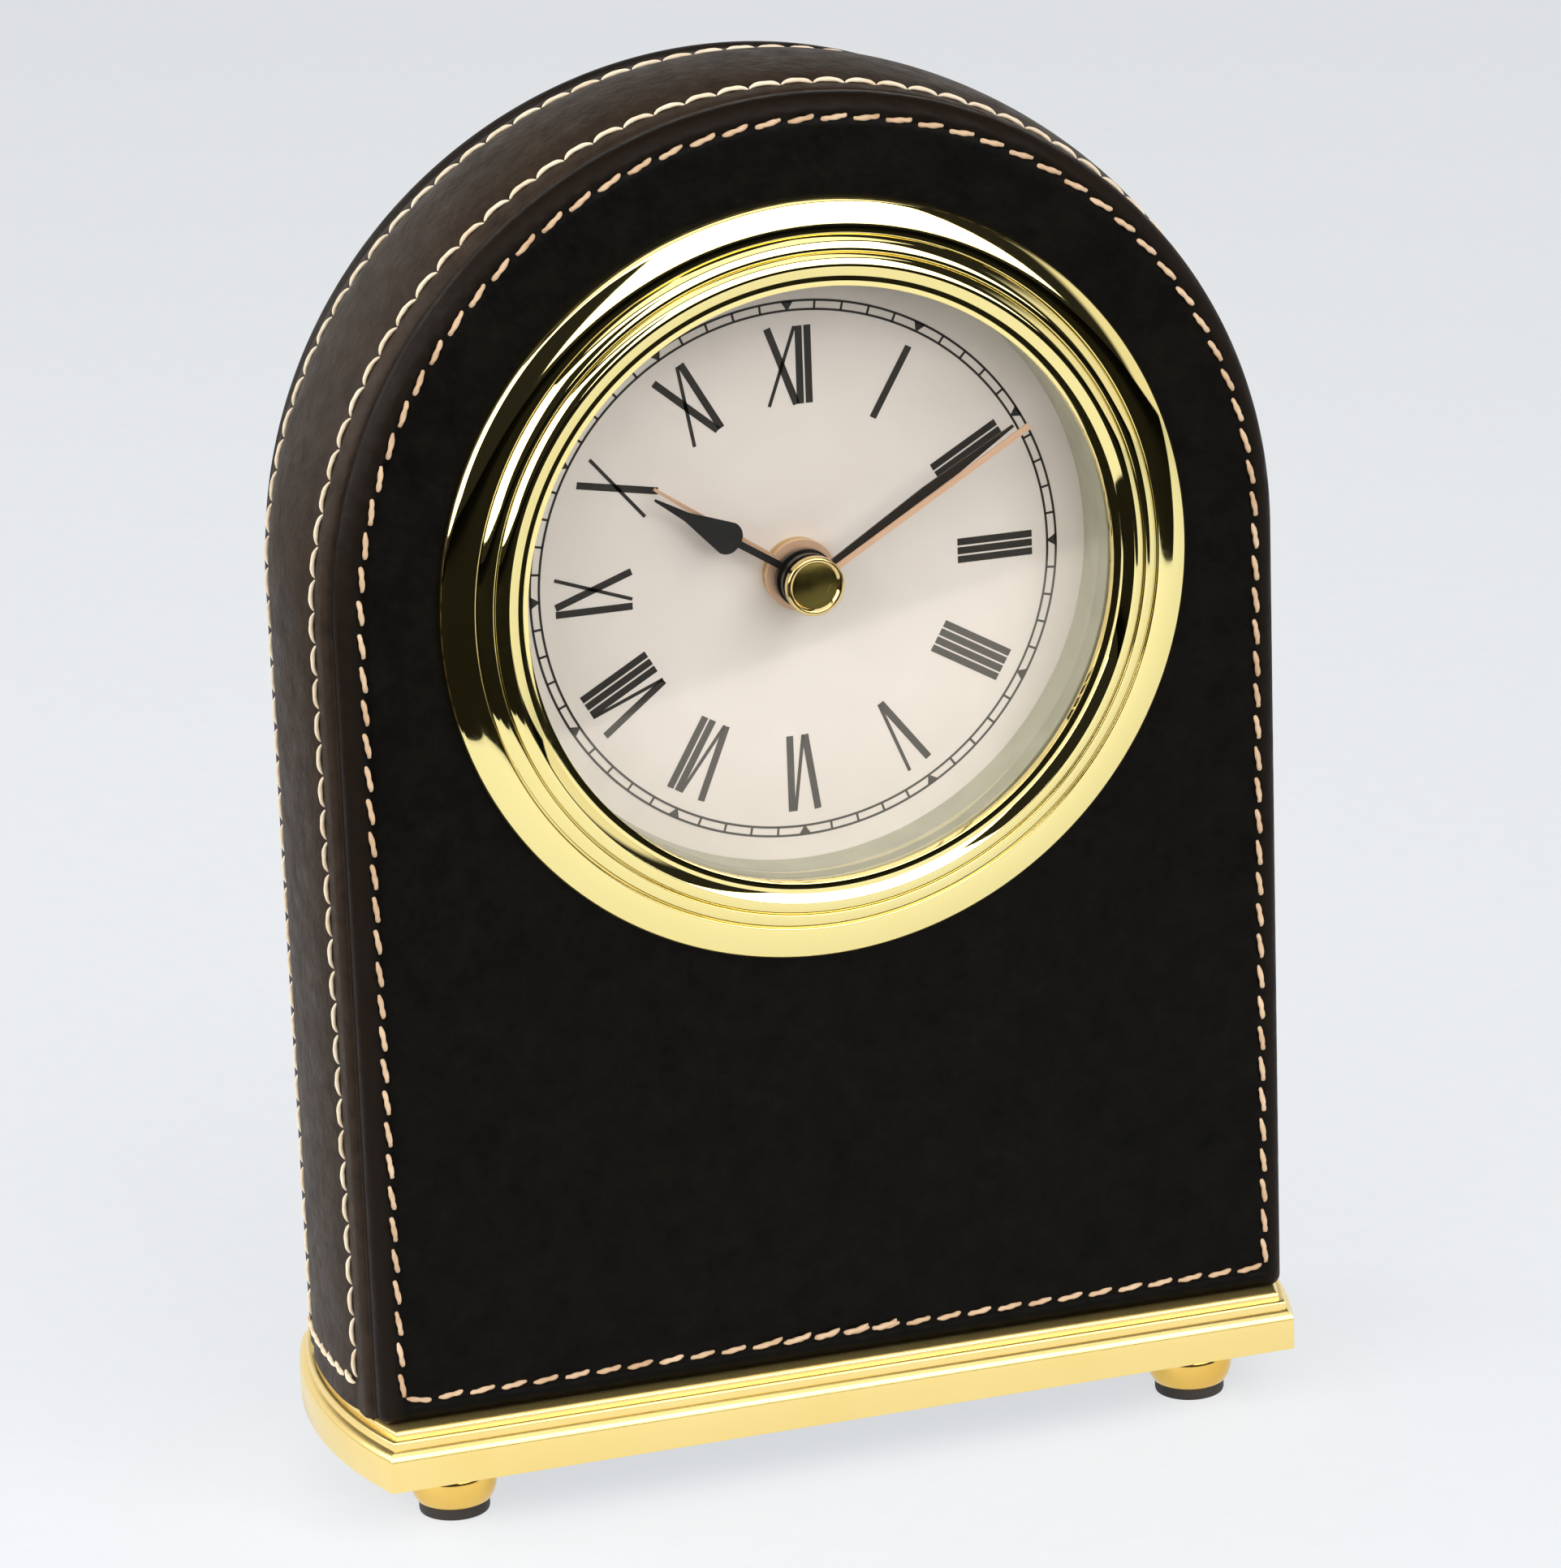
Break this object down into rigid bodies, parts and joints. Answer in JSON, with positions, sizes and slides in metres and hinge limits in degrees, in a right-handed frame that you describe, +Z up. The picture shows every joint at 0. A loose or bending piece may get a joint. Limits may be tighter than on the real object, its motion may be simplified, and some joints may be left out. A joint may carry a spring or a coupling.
{
  "type": "shelf clock",
  "caption": "Leather-covered arched alarm shelf clock with a round gold bezel, flat glass, four hands and a moulded gold base on ball feet.",
  "frame": {"origin": "on the ground, at the middle of the part's box", "axes": "+Z up, the dial faces -Y, +X to the right as seen from the front"},
  "size_m": [0.1204, 0.0432, 0.1678],
  "materials": {
    "front_leather": "fine grain, satin",
    "side_leather": "fine grain, satin",
    "back_leather": "fine grain, satin",
    "board_wood": "plain fibreboard",
    "gold_base": "polished and satin, lacquered",
    "gold_bezel": "mirror polished, lacquered",
    "gold_foot": "polished",
    "pad_rubber": "matte",
    "steel_screw": "zinc plated",
    "black_steel": "matte black",
    "lens_glass": "clear, flat",
    "grey_ring": "satin grey-green",
    "dial_card": "matte off-white print",
    "zinc_ring": "zinc plated",
    "black_hand": "satin black",
    "copper_hand": "polished rose gold",
    "cap_metal": "mirror black nickel",
    "case_plastic": "fine spark texture",
    "bush_brass": "turned",
    "plate_plastic": "moulded",
    "wheel_plastic": "moulded",
    "pipe_metal": "turned",
    "rotor_magnet": "moulded with magnet",
    "stator_steel": "annealed sheet",
    "coil_copper": "enamelled copper wire",
    "board_green": "printed circuit",
    "crystal_can": "drawn can",
    "buzzer_brass": "thin disc",
    "battery_sleeve": "plain sleeve",
    "contact_steel": "nickel plated",
    "knob_plastic": "moulded",
    "switch_plastic": "moulded"
  },
  "bodies": {
    "clock_case": {"front_board": "board_wood", "front_leather": "front_leather", "side_frame": "board_wood", "side_leather": "side_leather", "back_board": "board_wood", "back_leather": "back_leather", "bottom_board": "board_wood", "base_plinth": "gold_base", "base_cover": "black_steel", "ball_foot_front_left": "gold_foot", "ball_foot_front_right": "gold_foot", "ball_foot_rear_left": "gold_foot", "ball_foot_rear_right": "gold_foot", "foot_pad_front_left": "pad_rubber", "foot_pad_front_right": "pad_rubber", "foot_pad_rear_left": "pad_rubber", "foot_pad_rear_right": "pad_rubber", "foot_screws": "steel_screw", "case_screws": "steel_screw", "bezel": "gold_bezel", "lens": "lens_glass", "inner_ring": "grey_ring", "dial": "dial_card", "retaining_ring": "zinc_ring", "ring_screws": "steel_screw", "movement_front_case": "case_plastic", "movement_back_cover": "case_plastic", "cover_screws": "steel_screw", "threaded_bush": "bush_brass", "dial_nut": "bush_brass", "rubber_washer": "pad_rubber", "middle_plate": "plate_plastic", "rear_plate": "plate_plastic", "stator": "stator_steel", "coil": "coil_copper", "circuit_board": "board_green", "quartz_crystal": "crystal_can", "buzzer": "buzzer_brass", "battery": "battery_sleeve", "positive_contact": "contact_steel", "negative_contact": "contact_steel"},
    "seconds": {"second_wheel": "wheel_plastic", "second_hand": "copper_hand", "hub_cap": "cap_metal"},
    "minutes": {"minute_pipe": "pipe_metal", "minute_hand": "black_hand"},
    "hours": {"hour_wheel": "wheel_plastic", "hour_hand": "black_hand"},
    "alarm_setting": {"alarm_wheel": "wheel_plastic", "alarm_hand": "copper_hand"},
    "third": {"third_wheel": "wheel_plastic"},
    "centre": {"centre_wheel": "wheel_plastic"},
    "intermediate": {"intermediate_wheel": "wheel_plastic"},
    "rotor": {"motor_rotor": "rotor_magnet"},
    "motion": {"motion_wheel": "wheel_plastic"},
    "time_setter": {"setting_arbor": "wheel_plastic", "set_knob": "knob_plastic"},
    "alarm_setter": {"alarm_arbor": "wheel_plastic", "alarm_knob": "knob_plastic"},
    "alarm_slider": {"alarm_switch": "switch_plastic"}
  },
  "joints": [
    {"name": "second_hand_turn", "type": "hinge", "parent": "clock_case", "child": "seconds", "pos_m": [0, -0.0079, 0.1093], "axis": [0, 1, 0], "continuous": true},
    {"name": "minute_hand_turn", "type": "hinge", "parent": "clock_case", "child": "minutes", "pos_m": [0, -0.0079, 0.1093], "axis": [0, 1, 0], "continuous": true},
    {"name": "hour_hand_turn", "type": "hinge", "parent": "clock_case", "child": "hours", "pos_m": [0, -0.0079, 0.1093], "axis": [0, 1, 0], "continuous": true},
    {"name": "alarm_hand_turn", "type": "hinge", "parent": "clock_case", "child": "alarm_setting", "pos_m": [0, -0.0079, 0.1093], "axis": [0, 1, 0], "continuous": true},
    {"name": "third_wheel_turn", "type": "hinge", "parent": "clock_case", "child": "third", "pos_m": [-0.0045, -0.0079, 0.11709], "axis": [0, 1, 0], "continuous": true},
    {"name": "centre_wheel_turn", "type": "hinge", "parent": "clock_case", "child": "centre", "pos_m": [0, -0.0079, 0.1093], "axis": [0, 1, 0], "continuous": true},
    {"name": "intermediate_wheel_turn", "type": "hinge", "parent": "clock_case", "child": "intermediate", "pos_m": [0.0067, -0.0079, 0.11492], "axis": [0, 1, 0], "continuous": true},
    {"name": "rotor_turn", "type": "hinge", "parent": "clock_case", "child": "rotor", "pos_m": [0.01234, -0.0079, 0.11698], "axis": [0, 1, 0], "continuous": true},
    {"name": "motion_wheel_turn", "type": "hinge", "parent": "clock_case", "child": "motion", "pos_m": [0.00789, -0.0079, 0.10643], "axis": [0, 1, 0], "continuous": true},
    {"name": "set_knob_turn", "type": "hinge", "parent": "clock_case", "child": "time_setter", "pos_m": [0.01629, -0.0079, 0.10643], "axis": [0, 1, 0], "continuous": true},
    {"name": "alarm_knob_turn", "type": "hinge", "parent": "clock_case", "child": "alarm_setter", "pos_m": [-0.00987, -0.0079, 0.10571], "axis": [0, 1, 0], "continuous": true},
    {"name": "alarm_switch_slide", "type": "slide", "parent": "clock_case", "child": "alarm_slider", "axis": [1, 0, 0], "range_m": [0, 0.004]}
  ],
  "couplings": [
    {"joint": "intermediate_wheel_turn", "follows": "second_hand_turn", "ratio": -6},
    {"joint": "rotor_turn", "follows": "second_hand_turn", "ratio": 30},
    {"joint": "third_wheel_turn", "follows": "second_hand_turn", "ratio": -0.13333},
    {"joint": "centre_wheel_turn", "follows": "second_hand_turn", "ratio": 0.016667},
    {"joint": "motion_wheel_turn", "follows": "minute_hand_turn", "ratio": -0.33333},
    {"joint": "hour_hand_turn", "follows": "minute_hand_turn", "ratio": 0.083333},
    {"joint": "set_knob_turn", "follows": "minute_hand_turn", "ratio": 1},
    {"joint": "alarm_knob_turn", "follows": "alarm_hand_turn", "ratio": -4}
  ]
}
